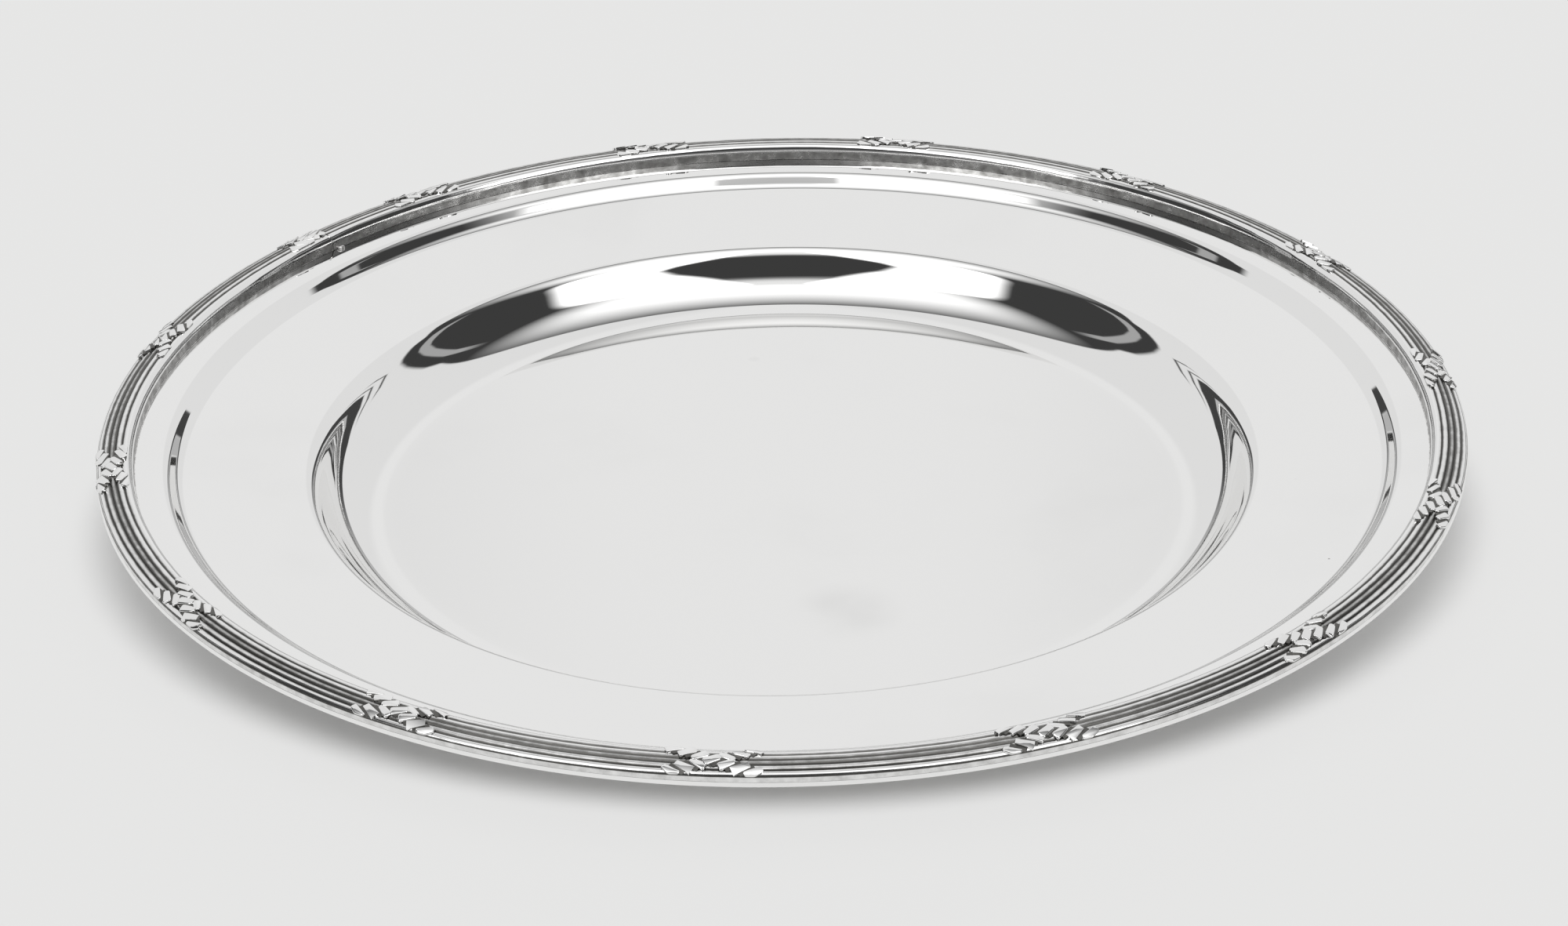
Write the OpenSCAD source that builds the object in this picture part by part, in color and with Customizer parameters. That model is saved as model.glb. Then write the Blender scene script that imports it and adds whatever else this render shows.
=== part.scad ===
// Round silver plate with a reed-and-ribbon border.
// A spun sheet dish carries a reeded strip round its rim, bound at intervals by crossed ribbon ties.
// Millimetres, Z up, origin at the centre of the face that the plate rests on.

/* [Dish sheet] */
// Thickness of the spun sheet
sheet_t = 0.9; // [0.6:0.1:1.3]
// Diameter of the well across its upper edge
well_d = 209; // [160:1:260]
// Depth of the well below its upper edge
well_depth = 11.2; // [8:0.1:18]
// Slope of the well's wall, in degrees from level
wall_slope = 66; // [45:1:75]
// Rounding where the floor turns up into the wall
floor_bend_r = 14; // [5:0.5:18]
// Rounding of the well's upper edge
well_edge_r = 2.4; // [1.6:0.1:4]
// Width of the broad flange round the well
flange_w = 28.3; // [15:0.1:45]
// Slope of the broad flange, in degrees from level
flange_slope = 7.8; // [2:0.1:14]
// Height of the step at the outside of the flange
step_h = 3; // [1.8:0.1:5]
// Slope of the step, in degrees from level
step_slope = 48; // [30:1:65]
// Rounding at the foot and the lip of the step
step_bend_r = 1.4; // [1.4:0.1:2]
// Width of the plain ledge between the step and the border
ledge_w = 6.5; // [3:0.1:12]
// Slope of the ledge, in degrees from level
ledge_slope = 8; // [2:0.1:12]

/* [Border strip] */
// Width of the strip's foot on the sheet
border_w = 8; // [7:0.1:11]
// Height of the strip's crown above the sheet's outer edge
crown_h = 2.6; // [2:0.1:4]
// Distance of the crown in from the plate's outer edge
crown_set = 4.9; // [3.5:0.1:6]
// Radius of the arch across the strip's reeds
arch_r = 10; // [8:0.1:16]
// Lean of the strip's inner wall, from its foot to its top
inner_lean = 0.9; // [0.3:0.1:1.5]
// Number of reeds side by side
reed_n = 5; // [3:1:7]
// Depth of the grooves between the reeds
reed_groove = 0.35; // [0.15:0.05:0.5]
// Direction of the strip's butt joint, in degrees from +X
joint_az = 140; // [0:1:359]
// Gap between the strip's two ends, filled with solder
joint_gap = 0.3; // [0.1:0.05:0.6]

/* [Ribbon ties] */
// Number of whole ties round the strip
tie_n = 14; // [6:1:24]
// Share of a tie's pitch that is left over at the butt joint
joint_share = 0.534; // [0.4:0.001:0.95]
// Length of one tie along the strip
tie_len = 19; // [14:0.5:24]
// Distance of the cut tie's middle from the butt joint
cut_tie_set = 1.8; // [0:0.1:6]
// Number of pleats along the upper ribbon
pleat_n = 7; // [5:2:9]
// Spare ribbon past the first and last pleats together, in pleats
pleat_spare = 0.37; // [0.2:0.01:0.6]
// Length of one pleat of ribbon
pleat_len = 4.6; // [3:0.1:6]
// Height of the lower ribbon's pleats above the reeds
pleat_h = 0.5; // [0.3:0.05:0.8]
// How much higher the upper ribbon's pleats stand
upper_lift = 0.15; // [0:0.05:0.4]
// Height of a pleat's straight edge
pleat_edge = 0.2; // [0.1:0.01:0.25]
// Overlap of one pleat with the next
pleat_lap = 0.16; // [0.05:0.01:0.4]
// Slant of a pleat from the run of the strip, in degrees
pleat_slant = 28; // [20:1:40]

/* [Solder and seats] */
// Clearance between a piece and the face that it lies on
seat = 0.03; // [0.01:0.01:0.04]
// Height of the strip's foot above the sheet, filled with a film of solder
film_t = 0.1; // [0.05:0.01:0.2]
// Leg of the solder fillet at the strip's inner foot
fillet_leg = 0.5; // [0.2:0.1:1]
// How far the film stops short of the plate's outer edge
seam_set = 0.15; // [0.05:0.05:0.4]
// Radius of the stray drop of solder beside the joint
drop_r = 1.1; // [0.7:0.1:1.6]
// Distance of the drop from the butt joint along the strip
drop_set = 2.4; // [1.8:0.1:6]

/* [Hidden] */
$fn = 120;
silver = [0.90, 0.90, 0.88];
worn_silver = [0.80, 0.80, 0.77];
solder_grey = [0.70, 0.70, 0.67];

// Corners of the sheet's upper face, before rounding, as [radius, height]
well_edge = [well_d / 2, sheet_t + well_depth];
floor_edge = [well_edge.x - well_depth / tan(wall_slope), sheet_t];
step_foot = well_edge + [flange_w, flange_w * tan(flange_slope)];
step_lip = step_foot + [step_h / tan(step_slope), step_h];
foot_r = step_lip.x + ledge_w;
plate_r = foot_r + border_w;

// Turns of the sheet at its four bends, and the length that each bend takes off the straight runs
edge_turn = wall_slope - flange_slope;
foot_turn = step_slope - flange_slope;
lip_turn = step_slope - ledge_slope;
edge_cut = well_edge_r * tan(edge_turn / 2);
foot_cut = step_bend_r * tan(foot_turn / 2);
lip_cut = step_bend_r * tan(lip_turn / 2);
wall_len = norm(well_edge - floor_edge);
floor_bend = min(floor_bend_r, (wall_len - edge_cut) / tan(wall_slope / 2));
floor_cut = floor_bend * tan(wall_slope / 2);

// Centres of the four bends. A direction at a slope, and the one square to it, lead from corner to centre.
function along(slope) = [cos(slope), sin(slope)];
function square_to(slope) = [-sin(slope), cos(slope)];
floor_c = floor_edge + [-floor_cut, floor_bend];
edge_c = well_edge + edge_cut * along(flange_slope) - well_edge_r * square_to(flange_slope);
foot_c = step_foot - foot_cut * along(flange_slope) + step_bend_r * square_to(flange_slope);
lip_c = step_lip + lip_cut * along(ledge_slope) - step_bend_r * square_to(ledge_slope);
// Largest turn of the sheet from one point of a bend to the next
arc_step = 5;

// Height of the ledge's upper face at a radius
function ledge_z(r) = step_lip.y + (r - step_lip.x) * tan(ledge_slope);

// The strip's arch: its centre, its inner and outer ends, and one reed's share of it, in degrees
strip_edge_z = ledge_z(plate_r) + film_t;
crown_z = strip_edge_z + crown_h;
arch_c = [plate_r - crown_set, crown_z - arch_r];
arch_out = asin(crown_set / arch_r);
arch_in = -asin((border_w - inner_lean - crown_set) / arch_r);
arch_mid = (arch_in + arch_out) / 2;
reed_turn = (arch_out - arch_in) / reed_n;
mid_r = arch_c.x + arch_r * sin(arch_mid);

// A reed is a round whose groove to its neighbour has the stated depth
reed_half = arch_r * sin(reed_turn / 2);
reed_r = (reed_half * reed_half + reed_groove * reed_groove) / (2 * reed_groove);
// The core under the reeds ends this far below the bottoms of their grooves
core_drop = 0.07;
core_r = arch_r - reed_groove - core_drop;

// The strip's inner wall at a height above its foot, and the toe of the solder fillet in front of it
wall_h = crown_z - ledge_z(foot_r) - film_t;
function inner_wall(h) = [foot_r + inner_lean * h / wall_h, ledge_z(foot_r) + film_t + h];
fillet_toe = [foot_r - fillet_leg, ledge_z(foot_r - fillet_leg) + seat];

// Angle about the plate's axis of a length along the strip's middle line
function az_of(len) = len / mid_r * 180 / PI;

// Ties: where each one lies, and how a ribbon's pleats step along its slanting run
tie_az0 = joint_az + az_of(cut_tie_set);
tie_turn = 360 / (tie_n + joint_share);
arch_span = arch_r * (arch_out - arch_in) * PI / 180;
ribbon_run = atan(arch_span / tie_len);
pleat_step = norm([arch_span, tie_len]) / (pleat_n + pleat_spare);
pleat_w = pleat_step * sin(pleat_slant + ribbon_run) + pleat_lap;
// The upper ribbon has a pleat on the crossing. The lower ribbon's pleats lie half a step off it.
pleats_each_way = (pleat_n - 1) / 2;
lower_shift = 0.5;
function tie_name(k) = str("ribbon_tie_", k < 10 ? "0" : "", k);

// Points of an arc about c, from one angle to another, in even steps of about arc_step
function arc(c, r, a_from, a_to) =
    let (n = ceil(abs(a_to - a_from) / arc_step))
    [for (i = [0:n]) let (a = a_from + (a_to - a_from) * i / n) c + r * [cos(a), sin(a)]];

// One face of the sheet in section, from the axis to the rim, at a depth below the upper face
function face(depth) = concat(
    [[0, sheet_t - depth]],
    arc(floor_c, floor_bend + depth, -90, wall_slope - 90),
    arc(edge_c, well_edge_r - depth, wall_slope + 90, flange_slope + 90),
    arc(foot_c, step_bend_r + depth, flange_slope - 90, step_slope - 90),
    arc(lip_c, step_bend_r - depth, step_slope + 90, ledge_slope + 90),
    [[plate_r, ledge_z(plate_r) - depth / cos(ledge_slope)]]
);
function backwards(points) = [for (i = [len(points) - 1:-1:0]) points[i]];

// Half section of the dish: floor, wall, flange, step and ledge, cut off plumb at the rim
module dish_2d() {
    polygon(concat(face(0), backwards(face(sheet_t))));
}

// Section of the reeded strip
module strip_2d() {
    intersection() {
        polygon([
            inner_wall(0),
            [plate_r, strip_edge_z],
            [plate_r, crown_z],
            inner_wall(wall_h)
        ]);
        translate(arch_c) circle(r = core_r);
    }
    for (i = [0:reed_n - 1]) {
        turn = arch_in + (i + 0.5) * reed_turn;
        translate(arch_c + (arch_r - reed_r) * [sin(turn), cos(turn)]) circle(r = reed_r);
    }
}

// Section of the solder under the strip, with its fillet against the strip's inner wall
module solder_2d() {
    seam_r = plate_r - seam_set;
    polygon([
        fillet_toe,
        [seam_r, ledge_z(seam_r) + seat],
        [seam_r, ledge_z(seam_r) + film_t],
        inner_wall(0),
        inner_wall(fillet_leg)
    ]);
}

// Section of a pleat: a low round top on a straight-sided edge
module pleat_2d(h) {
    rise = h - pleat_edge;
    r = (pleat_w * pleat_w / 4 + rise * rise) / (2 * rise);
    intersection() {
        translate([0, h - r]) circle(r = r);
        translate([-pleat_w / 2, 0]) square([pleat_w, 2 * h]);
    }
}

// One pleat of a ribbon, at u along its run. side is 1 on the upper ribbon and -1 on the lower one.
module pleat(u, side, h) {
    round_rim = side * u * cos(ribbon_run);
    across = u * sin(ribbon_run);
    out_len = min(pleat_len / 2, (arch_span / 2 - across) / sin(pleat_slant));
    in_len = min(pleat_len / 2, (arch_span / 2 + across) / sin(pleat_slant));
    rotate([0, 0, az_of(round_rim)])
        translate([arch_c.x, 0, arch_c.y])
        rotate([0, arch_mid + across / arch_r * 180 / PI, 0])
        translate([0, 0, arch_r + seat])
        rotate([0, 0, side * (pleat_slant - 90)])
        translate([-in_len, 0, 0])
        rotate([90, 0, 90])
        linear_extrude(in_len + out_len) pleat_2d(h);
}

// A tie: two pleated ribbons that cross. The lower one shows beside the upper one.
module tie() {
    for (i = [-pleats_each_way:pleats_each_way]) pleat(i * pleat_step, 1, pleat_h + upper_lift);
    for (i = [0:pleats_each_way], end = [-1, 1]) pleat(end * (i + lower_shift) * pleat_step, -1, pleat_h);
}

module dish_body() {
    color(silver) rotate_extrude() dish_2d();
}

module border_strip() {
    gap = az_of(joint_gap);
    color(silver)
        rotate([0, 0, joint_az + gap / 2])
        rotate_extrude(angle = 360 - gap) strip_2d();
}

module border_solder() {
    color(solder_grey) rotate_extrude() solder_2d();
}

module joint_solder() {
    gap = az_of(joint_gap);
    color(solder_grey)
        rotate([0, 0, joint_az - gap / 2])
        rotate_extrude(angle = gap) strip_2d();
}

// The drop lies in the corner of the ledge and the strip, on the far side of the joint from the cut tie.
// It is small enough for its faces against them to be flat.
module solder_drop() {
    reach = 2 * drop_r;
    color(solder_grey)
        rotate([0, 0, joint_az - az_of(drop_set)])
        difference() {
            translate([foot_r, 0, ledge_z(foot_r) + drop_r / 2]) sphere(r = drop_r);
            translate([-seat, reach, 0]) rotate([90, 0, 0]) linear_extrude(2 * reach) polygon([
                [foot_r - reach, ledge_z(foot_r - reach)],
                [foot_r - reach, 0],
                [foot_r + reach, 0],
                [foot_r + reach, crown_z],
                inner_wall(wall_h),
                inner_wall(fillet_leg),
                fillet_toe
            ]);
        }
}

// The cut tie keeps only the part on its own side of the joint
module joint_tie() {
    color(worn_silver)
        intersection() {
            rotate([0, 0, tie_az0]) tie();
            rotate([0, 0, joint_az + az_of(joint_gap) / 2])
                cube([2 * plate_r, 2 * tie_len, 2 * crown_z]);
        }
}

module ribbon_tie(k) {
    color(worn_silver) rotate([0, 0, tie_az0 + k * tie_turn]) tie();
}

dish_body();
border_strip();
border_solder();
joint_solder();
solder_drop();
joint_tie();
for (k = [1:tie_n]) ribbon_tie(k);
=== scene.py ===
# %% [markdown]
# # A round silver plate with a reed-and-ribbon border
#
# This lesson dresses a plate of polished silver. A CAD model already holds its pieces at their real
# size: the dish, the border strip, fifteen ribbon ties and the solder between them. Here each piece is
# modelled once more with the softer edges, the worn corners and the polish that the eye looks for.
#
# The frame comes first. Everything after it is placed by the CAD model's own measures, in metres.

import math
import random

import bmesh
import bpy
from mathutils import Matrix, Vector, noise


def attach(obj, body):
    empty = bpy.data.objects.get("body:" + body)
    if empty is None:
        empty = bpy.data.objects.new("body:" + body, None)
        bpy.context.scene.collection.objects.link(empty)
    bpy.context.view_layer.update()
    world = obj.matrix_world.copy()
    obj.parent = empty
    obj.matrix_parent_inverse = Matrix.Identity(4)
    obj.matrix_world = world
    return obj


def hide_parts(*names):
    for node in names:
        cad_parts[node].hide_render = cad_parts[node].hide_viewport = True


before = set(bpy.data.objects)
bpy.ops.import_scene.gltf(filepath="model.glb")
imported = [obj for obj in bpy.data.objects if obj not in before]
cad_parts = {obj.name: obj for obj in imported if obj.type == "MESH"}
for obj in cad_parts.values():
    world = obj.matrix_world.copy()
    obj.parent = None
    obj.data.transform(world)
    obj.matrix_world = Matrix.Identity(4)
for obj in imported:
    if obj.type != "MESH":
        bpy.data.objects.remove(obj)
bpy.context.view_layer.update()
print("CAD nodes:", ", ".join(sorted(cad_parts)))

# %% [markdown]
# ## The camera
#
# The plate is seen from the front and from above, by a long lens that keeps its rim nearly an even oval.
# A camera can be placed by eye, but an oval gives it away: the ratio of its width to its height says how
# steeply the camera looks down, and the difference between its near and far halves says how close it is.

# %% Place the camera
MM = 0.001
CAMERA_PLACE = (0.4, -704.0, 385.7)
LOOK_DOWN = 28.24
ROLL = -1.12

camera = bpy.data.objects.new("camera", bpy.data.cameras.new("camera"))
camera.data.lens = 82.05
camera.data.sensor_width = 36
camera.matrix_world = (
    Matrix.Translation(Vector(CAMERA_PLACE) * MM)
    @ Matrix.Rotation(math.radians(90 - LOOK_DOWN), 4, "X")
    @ Matrix.Rotation(math.radians(ROLL), 4, "Z")
)
bpy.context.scene.collection.objects.link(camera)
bpy.context.scene.camera = camera
print("camera stands", round(camera.location.length, 3), "m from the middle of the plate")

# %% [markdown]
# ## A pen for cross-sections
#
# A spun dish and a drawn moulding have the same section all the way round, so both start as a line drawn
# in a plane through the plate's axis. One vertex is the pen. Extruding it draws a straight run, and
# spinning it about a centre draws a true arc. Bevelling a corner would also round it, but a bevel's curve
# is a true arc only on a square corner, and a mirror finish shows the difference.

# %% Pen helpers
def on_section(r, z):
    """The point r mm out from the plate's axis and z mm above the table."""
    return Vector((r * MM, 0, z * MM))


def start_pen(bm, r, z):
    return bmesh.ops.create_vert(bm, co=on_section(r, z))["vert"][0]


def line_to(bm, pen, r, z):
    """Draws a straight run from the pen's vertex and returns the vertex at its end."""
    tip = bmesh.ops.extrude_vert_indiv(bm, verts=[pen])["verts"][0]
    bmesh.ops.translate(bm, verts=[tip], vec=on_section(r, z) - pen.co)
    return tip


def bend(bm, pen, centre, turn, step=4.0):
    """Spins the pen's vertex about a centre, anticlockwise if turn is positive, with a point every step."""
    made = bmesh.ops.spin(
        bm, geom=[pen], cent=on_section(*centre), axis=(0, -1, 0),
        angle=math.radians(turn), steps=round(abs(turn) / step),
    )
    return [g for g in made["geom_last"] if isinstance(g, bmesh.types.BMVert)][0]


def rounded_corner(bm, pen, corner, slope_in, slope_out, radius):
    """Runs straight to a corner and round it, from one slope to the next, in degrees from level."""
    turn = slope_out - slope_in
    cut = radius * math.tan(math.radians(abs(turn)) / 2)
    cos_in = math.cos(math.radians(slope_in))
    sin_in = math.sin(math.radians(slope_in))
    side = math.copysign(radius, turn)
    r = corner[0] - cut * cos_in
    z = corner[1] - cut * sin_in
    pen = line_to(bm, pen, r, z)
    return bend(bm, pen, (r - side * sin_in, z + side * cos_in), turn)


def swing(bm, pen, slope, *arcs):
    """Draws arcs end to end from a slope. Each is a slope to reach, in degrees from level, and a radius."""
    for slope_to, radius in arcs:
        side = math.copysign(radius, slope_to - slope)
        tilt = math.radians(slope)
        centre = (pen.co.x / MM - side * math.sin(tilt), pen.co.z / MM + side * math.cos(tilt))
        pen = bend(bm, pen, centre, slope_to - slope, step=3.0)
        slope = slope_to
    return pen


print("the pen draws on the plane y = 0, for example at", on_section(150, 21)[:])

# %% [markdown]
# ## The dish
#
# The body is one disc of sheet, spun over a former on a lathe: a flat floor, a wall curved like an S, a
# broad flange that rises gently, a small step and a plain ledge that carries the border. Its section is
# drawn along the upper face only. The spin makes it round, and solidify then gives the sheet the same
# thickness everywhere, as real sheet has. A wall with a straight run would mirror the studio in blocks, so
# the wall is a chain of arcs. Long straight runs elsewhere are cut into short ones before the spin, because
# smooth shading spreads a bend's turn over the whole of the next face, which a mirror shows as a smear.

# %% Sizes of the dish, in mm and degrees
SHEET_T = 0.9
FLOOR_R = 88.81
STEP_FOOT = (132.8, 15.98)
STEP_LIP = (135.293, 18.951)
PLATE_R = 149.98
FLANGE_SLOPE = 7.8
STEP_SLOPE = 50.0
LEDGE_SLOPE = 8.0
STEP_BEND_R = 3.2
WALL_ARCS = ((50.0, 14.7), (59.0, 24.85), (50.0, 11.0), (38.0, 6.0), (FLANGE_SLOPE, 3.4))


def flange_z(r):
    """Height of the flange's upper face at a radius, in mm."""
    return STEP_FOOT[1] + (r - STEP_FOOT[0]) * math.tan(math.radians(FLANGE_SLOPE))


def ledge_z(r):
    """Height of the ledge's upper face at a radius, in mm."""
    return STEP_LIP[1] + (r - STEP_LIP[0]) * math.tan(math.radians(LEDGE_SLOPE))


print("the ledge meets the border at", round(ledge_z(142.0), 2), "mm above the table")

# %% Draw the dish's upper face and cut its long runs
RUN_STEP = 2.5
dish_bm = bmesh.new()
rim_r = PLATE_R - SHEET_T * math.sin(math.radians(LEDGE_SLOPE))
pen = start_pen(dish_bm, 0, SHEET_T)
pen = line_to(dish_bm, pen, FLOOR_R, SHEET_T)
pen = swing(dish_bm, pen, 0, *WALL_ARCS)
print("the wall ends", round(pen.co.z / MM - flange_z(pen.co.x / MM), 3), "mm off the flange")
pen = rounded_corner(dish_bm, pen, STEP_FOOT, FLANGE_SLOPE, STEP_SLOPE, STEP_BEND_R)
pen = rounded_corner(dish_bm, pen, STEP_LIP, STEP_SLOPE, LEDGE_SLOPE, STEP_BEND_R)
pen = line_to(dish_bm, pen, rim_r, ledge_z(rim_r))
for run in dish_bm.edges[:]:
    cuts = int(run.calc_length() / (RUN_STEP * MM))
    if cuts:
        bmesh.ops.subdivide_edges(dish_bm, edges=[run], cuts=cuts)
print("the dish's section has", len(dish_bm.verts), "points")

# %% Spin the section and give it the sheet's thickness
DISH_STEPS = 360


def spin_round(bm, steps, turn=360.0, from_az=0.0):
    """Turns a section into a ring about the plate's axis, closed if it goes all the way round."""
    bmesh.ops.rotate(
        bm, verts=bm.verts[:], cent=(0, 0, 0), matrix=Matrix.Rotation(math.radians(from_az), 3, "Z")
    )
    bmesh.ops.spin(
        bm, geom=bm.verts[:] + bm.edges[:], cent=(0, 0, 0), axis=(0, 0, 1),
        angle=math.radians(turn), steps=steps, use_merge=turn == 360.0,
    )
    bmesh.ops.remove_doubles(bm, verts=bm.verts[:], dist=1e-7)


def face_outwards(bm):
    bmesh.ops.recalc_face_normals(bm, faces=bm.faces[:])


def shade_smooth(bm, sharp_above):
    """Smooth faces, with a crease left wherever two faces meet at more than an angle in degrees."""
    for face in bm.faces:
        face.smooth = True
    for edge in bm.edges:
        edge.smooth = edge.calc_face_angle(0.0) < math.radians(sharp_above)


spin_round(dish_bm, DISH_STEPS)
face_outwards(dish_bm)
if sum(face.normal.z for face in dish_bm.faces) < 0:
    bmesh.ops.reverse_faces(dish_bm, faces=dish_bm.faces[:])
bmesh.ops.solidify(dish_bm, geom=dish_bm.faces[:], thickness=SHEET_T * MM)
face_outwards(dish_bm)
shade_smooth(dish_bm, 40)
print("the dish has", len(dish_bm.faces), "faces; lowest point", min(v.co.z for v in dish_bm.verts))

# %% Make the dish an object
def make_piece(name, bm, slot, *nodes):
    """Turns a bmesh into an object that stands for CAD nodes, and hides those nodes."""
    mesh = bpy.data.meshes.new(name)
    bm.to_mesh(mesh)
    bm.free()
    piece = bpy.data.objects.new(name, mesh)
    bpy.context.scene.collection.objects.link(piece)
    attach(piece, "root")
    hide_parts(*nodes)
    return piece


spun_dish = make_piece("spun_dish", dish_bm, "polished_silver", "dish_body")
print("spun_dish:", len(spun_dish.data.polygons), "faces")

# %% [markdown]
# ## The reeded strip
#
# The border is a drawn moulding: five round reeds side by side on a low arch, a short plain band down the
# outside and a steep wall down the inside. It was bent into a ring and its two ends meet in a butt joint.
# The reeds are five arcs of the pen, and each arc stops where it meets the next, which leaves the sharp
# grooves that catch tarnish. How dark each point is painted is kept as an attribute, which the finish
# reads later: 0 on a crest, 1 at the bottom of a groove, and something between on the inner wall and on the
# outer band. In the grooves, and on the inner wall below a clean top band, it is partly tarnish and partly
# painted shade. On the outer band it is painted shade.

# %% Sizes of the border
FOOT_R = 142.0
FILM_T = 0.1
ARCH_C = (145.1, 13.715)
ARCH_R = 10.0
ARCH_IN = -12.71
ARCH_OUT = 29.34
REED_N = 5
REED_GROOVE = 0.35
SHOULDER_R = 1.7
WALL_LEAN = 5.0
JOINT_AZ = 140.0
JOINT_GAP = 0.3
ARCH_MID = (ARCH_IN + ARCH_OUT) / 2
REED_TURN = (ARCH_OUT - ARCH_IN) / REED_N
REED_HALF = ARCH_R * math.sin(math.radians(REED_TURN / 2))
REED_R = (REED_HALF ** 2 + REED_GROOVE ** 2) / (2 * REED_GROOVE)
MID_R = ARCH_C[0] + ARCH_R * math.sin(math.radians(ARCH_MID))


def az_of(length):
    """Degrees about the plate's axis for a length along the border's middle line, in mm."""
    return math.degrees(length / MID_R)


def on_arch(turn, radius):
    """The point of the section at an angle from upright and a distance from the arch's centre."""
    turn = math.radians(turn)
    return (ARCH_C[0] + radius * math.sin(turn), ARCH_C[1] + radius * math.cos(turn))


print("reeds:", REED_N, "of radius", round(REED_R, 2), "mm; border's middle line at", round(MID_R, 2), "mm")

# %% Draw the strip's section
reed_turns = [ARCH_OUT - (i + 0.5) * REED_TURN for i in range(REED_N)]
reed_centres = [on_arch(turn, ARCH_R - REED_R) for turn in reed_turns]
groove_rise = (ARCH_R - REED_GROOVE) * math.cos(math.radians(REED_TURN / 2)) - (ARCH_R - REED_R)
GROOVE_TURN = math.degrees(math.acos(groove_rise / REED_R))
lean_cos = math.cos(math.radians(WALL_LEAN))
lean_sin = math.sin(math.radians(WALL_LEAN))
crest_turn = reed_turns[-1]
shoulder_centre = on_arch(crest_turn, ARCH_R - SHOULDER_R)
WALL_TOP = (shoulder_centre[0] - SHOULDER_R * lean_cos, shoulder_centre[1] + SHOULDER_R * lean_sin)


def draw_strip(bm, shrink=0.0):
    """The strip's closed section, or one that is smaller by shrink, in mm, for the solder in the joint."""
    reed_r = REED_R - shrink
    outside = reed_centres[0][0] + reed_r
    foot_z = ledge_z(FOOT_R) + FILM_T
    foot_r = WALL_TOP[0] + shrink - (WALL_TOP[1] - foot_z) * lean_sin / lean_cos
    first = start_pen(bm, foot_r, foot_z)
    pen = line_to(bm, first, outside, ledge_z(outside) + FILM_T)
    pen = line_to(bm, pen, outside, reed_centres[0][1])
    for i, (centre, turn) in enumerate(zip(reed_centres, reed_turns)):
        sweep_from = 90 if i == 0 else turn + GROOVE_TURN
        sweep_to = crest_turn if i == REED_N - 1 else turn - GROOVE_TURN
        pen = bend(bm, pen, centre, sweep_from - sweep_to, step=9.0)
    pen = bend(bm, pen, shoulder_centre, crest_turn + 90 - WALL_LEAN, step=8.0)
    wall = bm.edges.new((pen, first))
    bmesh.ops.subdivide_edges(bm, edges=[wall], cuts=5)


strip_bm = bmesh.new()
draw_strip(strip_bm)
print("the strip's section has", len(strip_bm.verts), "points")

# %% Mark tarnish and painted shade
# Painted shade, partly tarnish: the inner wall is darkened below a clean top band. The outer band gets a
# little painted shade, where silver would mirror the dark room and shaded cloth.
WALL_TARNISH_AND_SHADE = 0.42
WALL_BRIGHT = 0.25
BAND_SHADE = 0.24


def mark_tarnish_and_shade(bm):
    """Keeps each point's share of tarnish and painted shade: by its depth below the reeds' crests, or by the
    face that it lies on.
    """
    tarnish_shade = bm.verts.layers.float.new("tarnish_and_shade")
    for vert in bm.verts:
        r = vert.co.x / MM - ARCH_C[0]
        z = vert.co.z / MM - ARCH_C[1]
        turn = math.degrees(math.atan2(r, z))
        depth = (ARCH_R - math.hypot(r, z)) / REED_GROOVE
        if turn < crest_turn:
            vert[tarnish_shade] = WALL_TARNISH_AND_SHADE if vert.co.z / MM < WALL_TOP[1] - WALL_BRIGHT else 0.0
        elif turn < ARCH_OUT:
            vert[tarnish_shade] = min(max(depth, 0.0), 1.0)
        else:
            vert[tarnish_shade] = BAND_SHADE


mark_tarnish_and_shade(strip_bm)
print("marked", len(strip_bm.verts), "points")

# %% Spin the strip, close its ends and wear it a little
STRIP_STEPS = 720
WEAR = 0.045
WEAR_SIZE = 3.5
END_SHIFT = 0.16
END_REACH = 9.0


def fill_ends(bm):
    bmesh.ops.holes_fill(bm, edges=[edge for edge in bm.edges if edge.is_boundary], sides=0)


def wear(bm, depth, size):
    """Moves each point a little in or out, as hand work does. Neighbours move together."""
    for vert in bm.verts:
        out = Vector((vert.co.x, vert.co.y, 0)).normalized()
        vert.co += out * noise.noise(vert.co / (size * MM)) * depth * MM


gap = az_of(JOINT_GAP)
spin_round(strip_bm, STRIP_STEPS, turn=360.0 - gap, from_az=JOINT_AZ + gap / 2)
fill_ends(strip_bm)
wear(strip_bm, WEAR, WEAR_SIZE)
for vert in strip_bm.verts:
    az = math.degrees(math.atan2(vert.co.y, vert.co.x))
    short_of_joint = math.radians((JOINT_AZ - az) % 360) * MID_R
    slip = END_SHIFT * max(0.0, 1 - short_of_joint / END_REACH) ** 2
    vert.co.xy *= 1 - slip / MID_R
face_outwards(strip_bm)
shade_smooth(strip_bm, 50)
reeded_strip = make_piece("reeded_strip", strip_bm, "reeded_silver", "border_strip")
print("reeded_strip:", len(reeded_strip.data.polygons), "faces, open at", JOINT_AZ, "degrees")

# %% [markdown]
# ## The ribbon ties
#
# Fifteen ties bind the reeds. Each is a pair of pleated ribbons that cross, and each pleat is a short
# plate with soft edges. Its end over the middle reeds is the narrower one, so the chased cut between two
# pleats opens like a wedge. A tie is easy to lay out flat, with one axis along the rim and one across it,
# and hard to lay out on a double curve. So each tie is built flat from bevelled bars, and every point is
# then wrapped over the arch and round the rim. Between two pleats a low web closes the cut, painted dark
# all over as painted shade on the cut's floor. Each bar is also painted darker below its top, as painted
# shade under the pleats.

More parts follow.
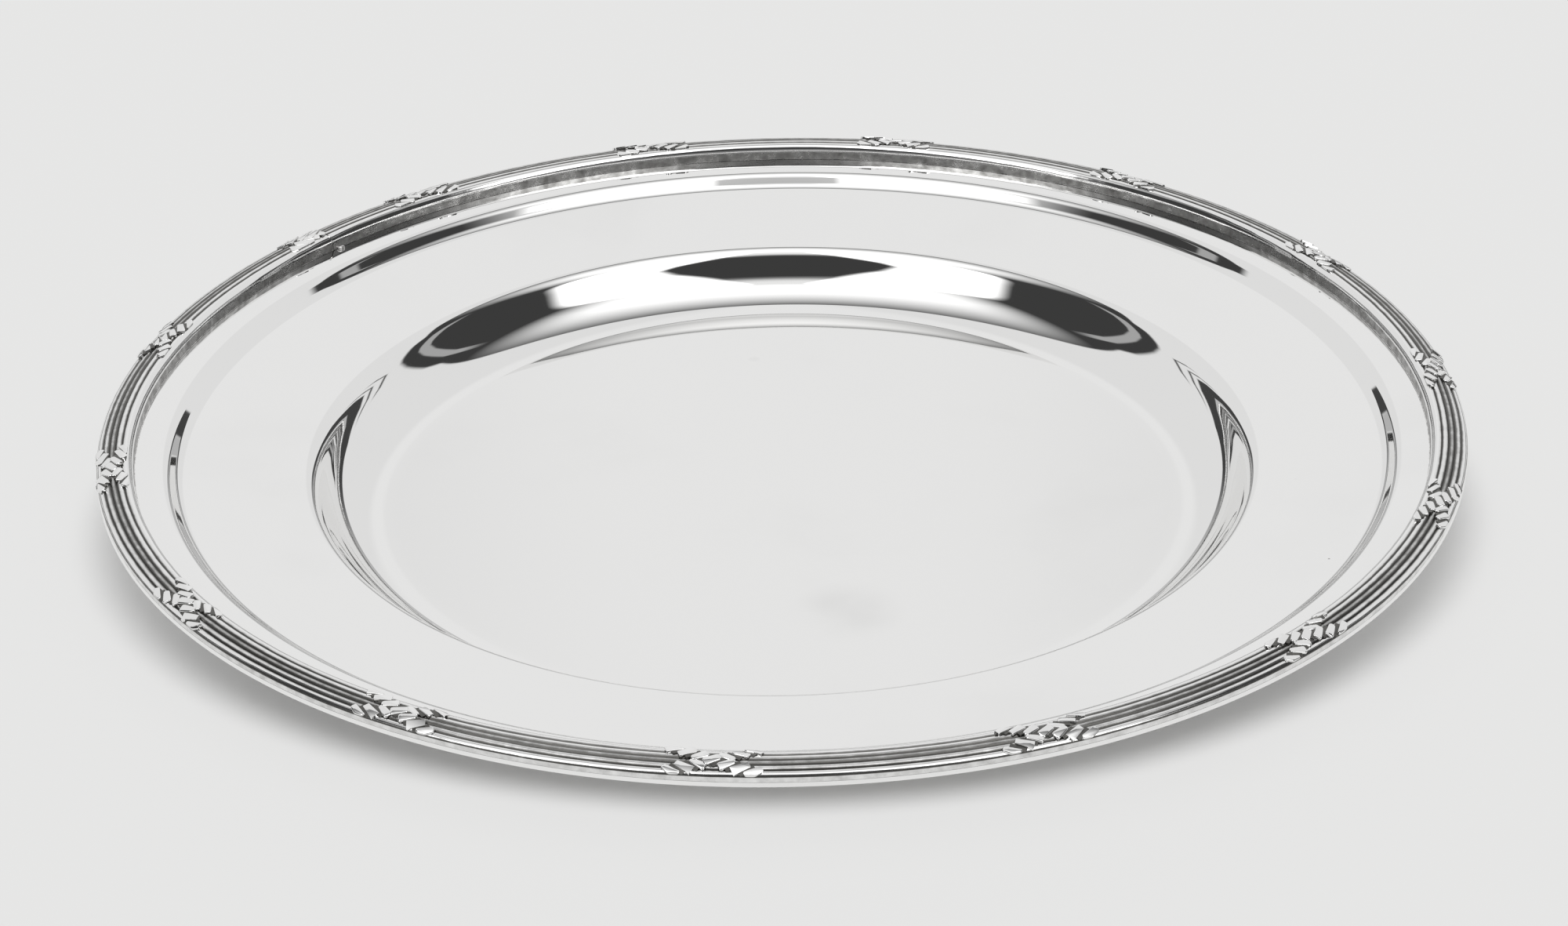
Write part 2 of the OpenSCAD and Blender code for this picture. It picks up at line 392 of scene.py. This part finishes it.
# %% Sizes of a tie
TIE_N = 14
JOINT_SHARE = 0.534
TIE_LEN = 19.0
CUT_TIE_SET = 1.8
PLEAT_N = 7
PLEAT_SPARE = 0.37
PLEAT_LEN = 3.8
PLEAT_H = 0.38
UPPER_LIFT = 0.16
PLEAT_SLANT = 28.0
ARCH_SPAN = ARCH_R * math.radians(ARCH_OUT - ARCH_IN)
RIBBON_RUN = math.atan(ARCH_SPAN / TIE_LEN)
PLEAT_STEP = math.hypot(ARCH_SPAN, TIE_LEN) / (PLEAT_N + PLEAT_SPARE)
PLEAT_PITCH = PLEAT_STEP * math.sin(math.radians(PLEAT_SLANT) + RIBBON_RUN)
TIE_AZ0 = JOINT_AZ + az_of(CUT_TIE_SET)
TIE_TURN = 360 / (TIE_N + JOINT_SHARE)
print("pleats", round(PLEAT_PITCH, 2), "mm apart; ties", round(TIE_TURN, 2), "degrees apart")

# %% A bar for pleats and webs
BAR_ROOT = 0.35
# Painted shade: how fast a bar darkens below its top.
SINK_SHADE = 1.1
TIE_EDGE = 0.3
OUTER_TRIM = ARCH_SPAN / 2
INNER_TRIM = TIE_EDGE - ARCH_SPAN / 2


def soften(bm, edges, width):
    bmesh.ops.bevel(
        bm, geom=edges, offset=width * MM, offset_type="OFFSET", affect="EDGES",
        segments=4, profile=0.5, material=-1, clamp_overlap=True,
    )


def cut_across(bm, y, **keep):
    bmesh.ops.bisect_plane(
        bm, geom=bm.verts[:] + bm.edges[:] + bm.faces[:],
        plane_co=(0, y * MM, 0), plane_no=(0, 1, 0), **keep,
    )


def flat_bar(place, size, top, rounding, margin, tarnish_and_shade, narrow=0.0):
    """A bar set in its place and trimmed a margin short of the border's edges, with softened ends and top.

    narrow is what its end at negative x lacks in width, or the other end if it is below 0.
    """
    bm = bmesh.new()
    height = top + BAR_ROOT
    bmesh.ops.create_cube(bm, size=MM)
    bmesh.ops.scale(bm, verts=bm.verts[:], vec=(*size, height))
    slim_end = [v for v in bm.verts if v.co.x * narrow < 0]
    bmesh.ops.scale(bm, verts=slim_end, vec=(1, 1 - abs(narrow) / size[1], 1))
    bmesh.ops.translate(bm, verts=bm.verts[:], vec=(0, 0, (top - height / 2) * MM))
    bmesh.ops.transform(bm, verts=bm.verts[:], matrix=place)
    cut_across(bm, OUTER_TRIM - margin, clear_outer=True)
    cut_across(bm, INNER_TRIM + margin, clear_inner=True)
    fill_ends(bm)
    face_outwards(bm)
    uprights = [e for e in bm.edges if abs(e.verts[0].co.z - e.verts[1].co.z) > height * MM / 2]
    soften(bm, uprights, rounding[0])
    crown = max(bm.faces, key=lambda face: face.calc_center_median().z)
    soften(bm, crown.edges[:], rounding[1])
    # Painted shade: a bar darkens below its top towards its foot, and a web is dark all over.
    tarnish_shade = bm.verts.layers.float.new("tarnish_and_shade")
    for vert in bm.verts:
        sunk = (top - vert.co.z / MM) / top
        vert[tarnish_shade] = max(tarnish_and_shade, min(1.0, SINK_SHADE * sunk))
    return bm


def join_into(bm, part):
    """Adds one bmesh to another, and frees it."""
    mesh = bpy.data.meshes.new("part")
    part.to_mesh(mesh)
    part.free()
    bm.from_mesh(mesh)
    bpy.data.meshes.remove(mesh)


sample = flat_bar(Matrix(), (PLEAT_LEN, PLEAT_PITCH), PLEAT_H, (0.4, 0.15), 0.0, 0.0)
print("a bar has", len(sample.faces), "faces")
sample.free()

# %% One tie, laid flat
CUT_W = 0.2
CUT_FLARE = 0.6
PLEAT_ROUND = (0.55, 0.26)
PLEAT_TILT = 6.0
WEB_SIZE = (PLEAT_LEN - 0.5, 1.2)
WEB_ROUND = (0.2, 0.05)
WEB_DROP = 0.28
WEB_MARGIN = 0.06
# Painted shade on the floor of each cut.
WEB_SHADE = 1.0
BEND_CUTS = 11
STEP_PLAY = 0.15
SLANT_PLAY = 2.5


def ribbon_spot(along, side, slant, tilt=0.0):
    """The place of a bar on one of the two ribbons, turned across the ribbon and tilted a little."""
    turn = 180 - slant if side > 0 else slant
    middle = Vector((side * along * math.cos(RIBBON_RUN), along * math.sin(RIBBON_RUN), 0))
    return (
        Matrix.Translation(middle * MM)
        @ Matrix.Rotation(math.radians(turn), 4, "Z")
        @ Matrix.Rotation(math.radians(tilt), 4, "X")
    )


def flat_tie(rng, length=PLEAT_LEN, flare=CUT_FLARE, rounding=PLEAT_ROUND):
    """Two crossed ribbons. x runs round the rim, y across it, and z is the height above the reeds."""
    bm = bmesh.new()
    size = (length - CUT_W, PLEAT_PITCH - CUT_W)
    each_way = (PLEAT_N - 1) // 2
    for side, top in ((1, PLEAT_H + UPPER_LIFT), (-1, PLEAT_H)):
        for i in range(-each_way, each_way + 1):
            along = i * PLEAT_STEP + rng.uniform(-STEP_PLAY, STEP_PLAY)
            slant = PLEAT_SLANT + rng.uniform(-SLANT_PLAY, SLANT_PLAY)
            narrow = math.copysign(flare, i) if i else flare / 2
            if side > 0 or i:
                spot = ribbon_spot(along, side, slant, PLEAT_TILT)
                join_into(bm, flat_bar(spot, size, top, rounding, 0.0, 0.0, narrow))
            if i < each_way:
                spot = ribbon_spot((i + 0.5) * PLEAT_STEP, side, PLEAT_SLANT)
                join_into(bm, flat_bar(spot, WEB_SIZE, top - WEB_DROP, WEB_ROUND, WEB_MARGIN, WEB_SHADE))
    for k in range(1, BEND_CUTS + 1):
        cut_across(bm, INNER_TRIM + (OUTER_TRIM - INNER_TRIM) * k / (BEND_CUTS + 1))
    return bm


def wrap_on_border(bm, tie_az):
    """Bends a flat tie over the reeds' arch and round the rim."""
    for vert in bm.verts:
        along, across, height = vert.co / MM
        r, z = on_arch(ARCH_MID + math.degrees(across / ARCH_R), ARCH_R + height)
        az = math.radians(tie_az + az_of(along))
        vert.co = Vector((r * math.cos(az), r * math.sin(az), z)) * MM


ribbon_ties = []
for k in range(1, TIE_N + 1):
    tie_bm = flat_tie(random.Random(k))
    wrap_on_border(tie_bm, TIE_AZ0 + k * TIE_TURN)
    face_outwards(tie_bm)
    shade_smooth(tie_bm, 50)
    number = f"{k:02d}"
    ribbon_ties.append(
        make_piece("crossed_ribbons_" + number, tie_bm, "ribbon_silver", "ribbon_tie_" + number)
    )
print(len(ribbon_ties), "whole ties of", len(ribbon_ties[0].data.polygons), "faces each")

# %% [markdown]
# ## The cut tie at the joint
#
# The strip was cut to length through one of its ties, so half a tie ends at the joint. It was filed and
# rubbed smooth there. It is made as the others are, with longer pleats and hardly a cut between them, and
# then cut with a plane.

# %% Cut tie
CUT_PLEAT_LEN = 5.4
RUBBED_FLARE = 0.1
RUBBED_ROUND = (0.3, 0.16)
cut_bm = flat_tie(random.Random(0), CUT_PLEAT_LEN, RUBBED_FLARE, RUBBED_ROUND)
cut_at = (JOINT_GAP / 2 - CUT_TIE_SET) * MM
bmesh.ops.bisect_plane(
    cut_bm, geom=cut_bm.verts[:] + cut_bm.edges[:] + cut_bm.faces[:],
    plane_co=(cut_at, 0, 0), plane_no=(1, 0, 0), clear_inner=True,
)
fill_ends(cut_bm)
wrap_on_border(cut_bm, TIE_AZ0)
face_outwards(cut_bm)
shade_smooth(cut_bm, 50)
cut_ribbons = make_piece("cut_ribbons", cut_bm, "ribbon_silver", "joint_tie")
print("cut_ribbons:", len(cut_ribbons.data.polygons), "faces")

# %% [markdown]
# ## Solder
#
# A thin film of solder holds the strip on the sheet. It shows as a fine line round the outside of the rim
# and as a small hollow fillet at the strip's inner foot. More of it fills the butt joint, a little below
# the reeds because it was scraped down, and one stray drop froze on the ledge beside the joint.

# %% Film and fillet
FILLET_R = 0.35
SEAM_SET = 0.15
SEAT = 0.03
FILLET_LAP = 0.2
film_bm = bmesh.new()
wall_r = FOOT_R + FILLET_LAP
wall_z = ledge_z(FOOT_R) + SEAT + FILLET_R
seam_r = PLATE_R - SEAM_SET
first = start_pen(film_bm, wall_r, wall_z)
pen = bend(film_bm, first, (wall_r - FILLET_R, wall_z), -90, step=15)
pen = line_to(film_bm, pen, seam_r, ledge_z(seam_r) + SEAT)
pen = line_to(film_bm, pen, seam_r, ledge_z(seam_r) + FILM_T)
pen = line_to(film_bm, pen, wall_r, ledge_z(wall_r) + FILM_T)
film_bm.edges.new((pen, first))
spin_round(film_bm, STRIP_STEPS)
face_outwards(film_bm)
shade_smooth(film_bm, 50)
solder_film = make_piece("solder_film", film_bm, "solder", "border_solder")
print("solder_film:", len(solder_film.data.polygons), "faces")

# %% Solder in the joint
JOINT_SINK = 0.25
fill_bm = bmesh.new()
draw_strip(fill_bm, shrink=JOINT_SINK)
spin_round(fill_bm, 2, turn=gap, from_az=JOINT_AZ - gap / 2)
fill_ends(fill_bm)
face_outwards(fill_bm)
shade_smooth(fill_bm, 50)
solder_fill = make_piece("solder_fill", fill_bm, "solder", "joint_solder")
print("solder_fill:", len(solder_fill.data.polygons), "faces")

# %% Stray drop
DROP_R = 0.85
DROP_SET = 2.4
DROP_OFF_WALL = 0.45
DROP_LUMPS = 0.06
LUMP_SIZE = 1.1
DROP_SHAPE = (0.8, 1.25, 0.7)
DROP_CUT = -0.2
DROP_LIFT = 0.25
drop_az = math.radians(JOINT_AZ - az_of(DROP_SET))
drop_r = FOOT_R - DROP_OFF_WALL
drop_bm = bmesh.new()
bmesh.ops.create_icosphere(drop_bm, subdivisions=4, radius=DROP_R * MM)
for vert in drop_bm.verts:
    vert.co *= 1 + DROP_LUMPS * noise.noise(vert.co / (LUMP_SIZE * MM))
bmesh.ops.scale(drop_bm, verts=drop_bm.verts[:], vec=DROP_SHAPE)
bmesh.ops.bisect_plane(
    drop_bm, geom=drop_bm.verts[:] + drop_bm.edges[:] + drop_bm.faces[:],
    plane_co=(0, 0, DROP_CUT * MM), plane_no=(0, 0, 1), clear_inner=True,
)
fill_ends(drop_bm)
lean = Matrix.Rotation(-math.radians(LEDGE_SLOPE), 4, "Y")
seat_point = on_section(drop_r, ledge_z(drop_r) + DROP_LIFT)
spot = Matrix.Rotation(drop_az, 4, "Z") @ Matrix.Translation(seat_point)
bmesh.ops.transform(drop_bm, verts=drop_bm.verts[:], matrix=spot @ lean)
face_outwards(drop_bm)
shade_smooth(drop_bm, 50)
frozen_drop = make_piece("frozen_drop", drop_bm, "solder", "solder_drop")
print("frozen_drop:", len(frozen_drop.data.polygons), "faces")

# %% [markdown]
# ## Finishes
#
# Silver is nearly a perfect mirror, so most of what the eye reads as silver is the studio around it.
# What the material adds is small: a trace of warmth, cloudy patches where fingers and cloths have been,
# a few pits, grey tarnish in the reeds' grooves, and painted shade there, on the border's walls and under
# the pleats. Every pattern reads Object coordinates.

# %% Node helpers
def add_node(tree, kind, inputs=None, **settings):
    """Adds a node, sets its settings, and fills its inputs with values or links from other sockets."""
    made = tree.nodes.new(kind)
    for name, value in settings.items():
        setattr(made, name, value)
    for socket, value in (inputs or {}).items():
        if isinstance(value, bpy.types.NodeSocket):
            tree.links.new(value, made.inputs[socket])
        else:
            made.inputs[socket].default_value = value
    return made


def ramp(tree, value, low, high, to_low=0.0, to_high=1.0, ease="SMOOTHSTEP"):
    """Eases a value from one range into another."""
    return add_node(
        tree, "ShaderNodeMapRange",
        {"Value": value, "From Min": low, "From Max": high, "To Min": to_low, "To Max": to_high},
        interpolation_type=ease,
    ).outputs["Result"]


def calc(tree, operation, *values):
    return add_node(tree, "ShaderNodeMath", dict(enumerate(values)), operation=operation).outputs[0]


def blend_colour(tree, share, plain, other):
    """A colour that goes from plain to other as share goes from 0 to 1."""
    mixed = add_node(tree, "ShaderNodeMix", data_type="RGBA")
    for socket, value in (("Factor", share), ("A", plain), ("B", other)):
        target = [s for s in mixed.inputs if s.name == socket and s.enabled][0]
        if isinstance(value, bpy.types.NodeSocket):
            tree.links.new(value, target)
        else:
            target.default_value = value
    return [s for s in mixed.outputs if s.enabled][0]


def new_metal(name):
    """A material with a fully metallic shader. Returns it with its tree and its shader."""
    material = bpy.data.materials.new(name)
    material.use_nodes = True
    shader = material.node_tree.nodes["Principled BSDF"]
    shader.inputs["Metallic"].default_value = 1.0
    return material, material.node_tree, shader


print("node helpers ready")

# %% Polished silver
BRIGHT = (0.94, 0.938, 0.932, 1)
CLOUDED = (0.87, 0.868, 0.862, 1)
PITTED = (0.45, 0.445, 0.44, 1)
# The grey of tarnish, which also serves as painted shade in the grooves, on the border's walls and under the
# pleats.
TARNISH_AND_SHADE = (0.15, 0.147, 0.14, 1)
HAZES = (((-6.3, 65.6), 1.9, 0.7), ((13.0, -54.3), 14.0, 1.0), ((-103.6, -52.7), 17.0, 0.9))
HAZE_CORE = 0.3
PIT_SIZE = 0.012
polished, tree, shader = new_metal("polished_silver")
place = add_node(tree, "ShaderNodeTexCoord").outputs["Object"]
cloud = add_node(tree, "ShaderNodeTexNoise", {"Vector": place, "Scale": 22.0, "Detail": 5.0})
haze = ramp(tree, cloud.outputs["Fac"], 0.52, 0.8, 0.0, 0.35)
for spot, reach, strength in HAZES:
    centre = Vector((*spot, SHEET_T)) * MM
    span = add_node(tree, "ShaderNodeVectorMath", {0: place, 1: centre}, operation="DISTANCE")
    patch = ramp(tree, span.outputs["Value"], HAZE_CORE * reach * MM, reach * MM, strength, 0.0)
    blotch = ramp(tree, cloud.outputs["Fac"], 0.35, 0.6)
    haze = calc(tree, "MAXIMUM", haze, calc(tree, "MULTIPLY", patch, blotch))
pits = add_node(tree, "ShaderNodeTexVoronoi", {"Vector": place, "Scale": 70.0}).outputs
rare = ramp(tree, add_node(tree, "ShaderNodeSeparateColor", {"Color": pits["Color"]}).outputs[0], 0.8, 0.82)
pit = calc(tree, "MULTIPLY", ramp(tree, pits["Distance"], PIT_SIZE + 0.01, PIT_SIZE), rare)
clean = blend_colour(tree, haze, BRIGHT, CLOUDED)
tree.links.new(blend_colour(tree, pit, clean, PITTED), shader.inputs["Base Color"])
tree.links.new(ramp(tree, haze, 0.0, 1.0, 0.03, 0.12), shader.inputs["Roughness"])
spun_dish.data.materials.append(polished)
print("polished_silver:", len(tree.nodes), "nodes")

# %% Silver darkened by tarnish and painted shade
def tarnished_and_shaded_silver(name, dark_from, dark_to, patch_share):
    material, tree, shader = new_metal(name)
    place = add_node(tree, "ShaderNodeTexCoord").outputs["Object"]
    tarnish_shade = add_node(tree, "ShaderNodeAttribute", attribute_name="tarnish_and_shade").outputs["Fac"]
    patches = add_node(tree, "ShaderNodeTexNoise", {"Vector": place, "Scale": 450.0, "Detail": 4.0})
    uneven = calc(tree, "MULTIPLY_ADD", patches.outputs["Fac"], patch_share, -0.5 * patch_share)
    # How dark a point is painted, tarnish and painted shade together, made uneven in patches.
    reach = calc(tree, "ADD", tarnish_shade, uneven)
    dark = ramp(tree, reach, dark_from, dark_to)
    tree.links.new(blend_colour(tree, dark, BRIGHT, TARNISH_AND_SHADE), shader.inputs["Base Color"])
    tree.links.new(ramp(tree, reach, dark_from, dark_to, 0.07, 0.38), shader.inputs["Roughness"])
    rub = add_node(tree, "ShaderNodeTexNoise", {"Vector": place, "Scale": 900.0, "Detail": 3.0})
    bump = add_node(
        tree, "ShaderNodeBump", {"Height": rub.outputs["Fac"], "Strength": 0.05, "Distance": 0.0001}
    )
    tree.links.new(bump.outputs["Normal"], shader.inputs["Normal"])
    print(name + ":", len(tree.nodes), "nodes")
    return material


reeded = tarnished_and_shaded_silver("reeded_silver", 0.08, 0.6, 0.35)
ribboned = tarnished_and_shaded_silver("ribbon_silver", 0.45, 1.0, 0.3)
reeded_strip.data.materials.append(reeded)
for tie in ribbon_ties + [cut_ribbons]:
    tie.data.materials.append(ribboned)

# %% Solder
SOLDER_BRIGHT = (0.9, 0.895, 0.885, 1)
SOLDER_DROSS = (0.62, 0.61, 0.6, 1)
soldered, tree, shader = new_metal("solder")
place = add_node(tree, "ShaderNodeTexCoord").outputs["Object"]
grain = add_node(tree, "ShaderNodeTexNoise", {"Vector": place, "Scale": 600.0, "Detail": 4.0})
dross = ramp(tree, grain.outputs["Fac"], 0.4, 0.65)
tree.links.new(blend_colour(tree, dross, SOLDER_BRIGHT, SOLDER_DROSS), shader.inputs["Base Color"])
tree.links.new(ramp(tree, grain.outputs["Fac"], 0.4, 0.65, 0.12, 0.35), shader.inputs["Roughness"])
for piece in (solder_film, solder_fill, frozen_drop):
    piece.data.materials.append(soldered)
print("solder:", len(tree.nodes), "nodes")

# %% [markdown]
# ## The studio
#
# A mirror shows its surroundings, so the studio is part of the look. Behind the plate hangs a pale
# backdrop with a straight top edge and dark level rails low down. Above it is a broad lit panel, in front
# stand two tall softboxes, and the rest of the room is dim or dark. Real cards would hide the plate from
# other sides, so the world plays their part: each card is a mask on the direction in which a ray leaves.

# %% Directions
world = bpy.data.worlds.new("studio")
bpy.context.scene.world = world
world.use_nodes = True
tree = world.node_tree
ray = add_node(tree, "ShaderNodeTexCoord").outputs["Generated"]
axes = add_node(tree, "ShaderNodeSeparateXYZ", {"Vector": ray}).outputs
back = axes["Y"]
front = calc(tree, "MULTIPLY", axes["Y"], -1.0)
side = calc(tree, "ABSOLUTE", axes["X"])
up = calc(tree, "MAXIMUM", axes["Z"], 0.001)
back_slope = calc(tree, "DIVIDE", back, up)
side_slope = calc(tree, "DIVIDE", side, up)


def product(*values):
    total = values[0]
    for value in values[1:]:
        total = calc(tree, "MULTIPLY", total, value)
    return total


def beyond(value, share, other, soft):
    """1 where value is more than share times other, and 0 where it is less, with a soft edge."""
    return ramp(tree, calc(tree, "MULTIPLY_ADD", other, -share, value), -soft, soft)


print("directions ready")

# %% Backdrop with its rails
BACKDROP = 0.76
BACKDROP_TOP = 0.47
BACKDROP_END = 0.364
MIDDLE_GAIN = 1.08
SKIRTING = 0.6
RAIL_SOFT = 0.006
RAIL_DARK = 0.07
RAILS = (
    (0.100, 0.175, 0.10, 0.60, 0.4),
    (0.198, 0.208, 0.90, 1.30, 0.0),
    (0.242, 0.252, 1.30, 1.70, 0.0),
)
aside = calc(tree, "DIVIDE", side, calc(tree, "MAXIMUM", back, 0.001))


def rail(low, high, aside_from, aside_to, middle):
    """A dark level line on the backdrop, between two heights, that gains strength towards the sides."""
    return product(
        ramp(tree, up, low - RAIL_SOFT, low + RAIL_SOFT),
        ramp(tree, up, high + RAIL_SOFT, high - RAIL_SOFT),
        ramp(tree, aside, aside_from, aside_to, middle, 1.0),
    )


def brightest(*values):
    most = values[0]
    for value in values[1:]:
        most = calc(tree, "MAXIMUM", most, value)
    return most


rails = brightest(*(rail(*sizes) for sizes in RAILS))
backdrop = product(
    beyond(back, BACKDROP_TOP, up, 0.012), beyond(back, BACKDROP_END, side, 0.02),
    ramp(tree, up, 0.09, 0.11, SKIRTING, 1.0), ramp(tree, aside, 0.04, 0.17, MIDDLE_GAIN, 1.0),
    ramp(tree, rails, 0.0, 1.0, BACKDROP, RAIL_DARK * BACKDROP),
)
print("backdrop with", len(RAILS), "rails")

# %% Panel overhead
PANEL = 1.25
PANEL_BACK = 0.12
PANEL_SEAM = 0.68
panel = product(
    ramp(tree, back_slope, 0.46, -0.1, PANEL_BACK * PANEL, PANEL, "LINEAR"),
    ramp(tree, side_slope, 1.0, 0.42),
    ramp(tree, back_slope, -0.43, -0.32, PANEL_SEAM, 1.0),
    ramp(tree, back_slope, -0.80, -0.48),
)
print("panel of strength", PANEL)

# %% Softboxes in front
SOFTBOX = 2.2
INNER_LEAN = (-1.6, 1.66)
OUTER_SHARE = 0.846
OUTER_LEAN = 0.354
inner_edge = calc(tree, "MULTIPLY", front, calc(tree, "MULTIPLY_ADD", up, *INNER_LEAN))
outer_lean = calc(tree, "MULTIPLY", up, OUTER_LEAN)
outer_edge = calc(tree, "ADD", calc(tree, "MULTIPLY_ADD", side, -OUTER_SHARE, front), outer_lean)
softbox = product(
    ramp(tree, calc(tree, "SUBTRACT", side, inner_edge), -0.05, 0.05),
    ramp(tree, outer_edge, -0.14, 0.05),
    ramp(tree, up, 0.1, 0.2), ramp(tree, back_slope, -0.3, -0.45), SOFTBOX,
)
print("softboxes of strength", SOFTBOX)

# %% Stripe at the sides, and the dim room
STRIPE = 0.38
ROOM = 0.2
SHADE = 0.045
stripe = product(
    beyond(back, 0.176, side, 0.01), beyond(side, 4.0, back, 0.04), ramp(tree, up, 0.75, 0.6), STRIPE,
)
room = product(beyond(front, 0.5, side, 0.15), ramp(tree, up, 0.45, 0.3), ROOM)
light = brightest(backdrop, panel, room, stripe, softbox, SHADE)
print("the darkest part of the room has a strength of", SHADE)

# %% World
PALE = (0.80, 0.80, 0.795, 1)
path = add_node(tree, "ShaderNodeLightPath").outputs
studio = add_node(tree, "ShaderNodeBackground", {"Color": (1, 1, 1, 1), "Strength": light}).outputs[0]
plain = add_node(tree, "ShaderNodeBackground", {"Color": PALE, "Strength": 1.0}).outputs[0]
mixed = add_node(tree, "ShaderNodeMixShader", {0: path["Is Camera Ray"], 1: studio, 2: plain})
tree.links.new(mixed.outputs[0], tree.nodes["World Output"].inputs["Surface"])
print("studio:", len(tree.nodes), "nodes")

# %% [markdown]
# ## The floor
#
# The plate stands on a pale cloth. Lit by the studio alone, the cloth would be greyer than the backdrop, and
# the plate's shadow would run far over it. So outside an oval a little smaller than the plate it is shown
# at the backdrop's own tone, to the camera and in the silver. Inside the oval it is plain matt cloth, which
# keeps the dark shadow under the rim.

# %% Floor
FLOOR_HALF = 6.0
FLOOR_DROP = 0.2
CLOTH = (0.97, 0.97, 0.965, 1)
SHADOW_REACH = (153.0, 125.5)
SHADOW_SOFT = 0.045
LIT_SHARE = 0.92
floor_bm = bmesh.new()
bmesh.ops.create_grid(floor_bm, x_segments=1, y_segments=1, size=FLOOR_HALF)
bmesh.ops.translate(floor_bm, verts=floor_bm.verts[:], vec=(0, 0, -FLOOR_DROP * MM))
floor_mesh = bpy.data.meshes.new("floor")
floor_bm.to_mesh(floor_mesh)
floor_bm.free()
floor = bpy.data.objects.new("floor", floor_mesh)
bpy.context.scene.collection.objects.link(floor)
cloth = bpy.data.materials.new("pale_floor")
cloth.use_nodes = True
tree = cloth.node_tree
matt = tree.nodes["Principled BSDF"]
matt.inputs["Base Color"].default_value = CLOTH
matt.inputs["Roughness"].default_value = 0.9
place = add_node(tree, "ShaderNodeTexCoord").outputs["Object"]
shrink = [1 / (reach * MM) for reach in SHADOW_REACH] + [0.0]
oval = add_node(tree, "ShaderNodeVectorMath", {0: place, 1: shrink}, operation="MULTIPLY").outputs[0]
off_axis = add_node(tree, "ShaderNodeVectorMath", {0: oval}, operation="LENGTH").outputs["Value"]
open_floor = ramp(tree, off_axis, 1 - SHADOW_SOFT, 1 + SHADOW_SOFT, 0.0, LIT_SHARE)
path = add_node(tree, "ShaderNodeLightPath").outputs
seen = calc(tree, "MAXIMUM", path["Is Camera Ray"], path["Is Glossy Ray"])
glow = add_node(tree, "ShaderNodeEmission", {"Color": PALE, "Strength": 1.0}).outputs[0]
lit = calc(tree, "MULTIPLY", seen, open_floor)
mixed = add_node(tree, "ShaderNodeMixShader", {0: lit, 1: matt.outputs[0], 2: glow})
tree.links.new(mixed.outputs[0], tree.nodes["Material Output"].inputs["Surface"])
floor_mesh.materials.append(cloth)
print("floor:", [round(x, 2) for x in floor.dimensions])

# %% [markdown]
# ## View settings
#
# The standard view transform shows colours as they were chosen.

# %% View settings
bpy.context.scene.view_settings.view_transform = "Standard"
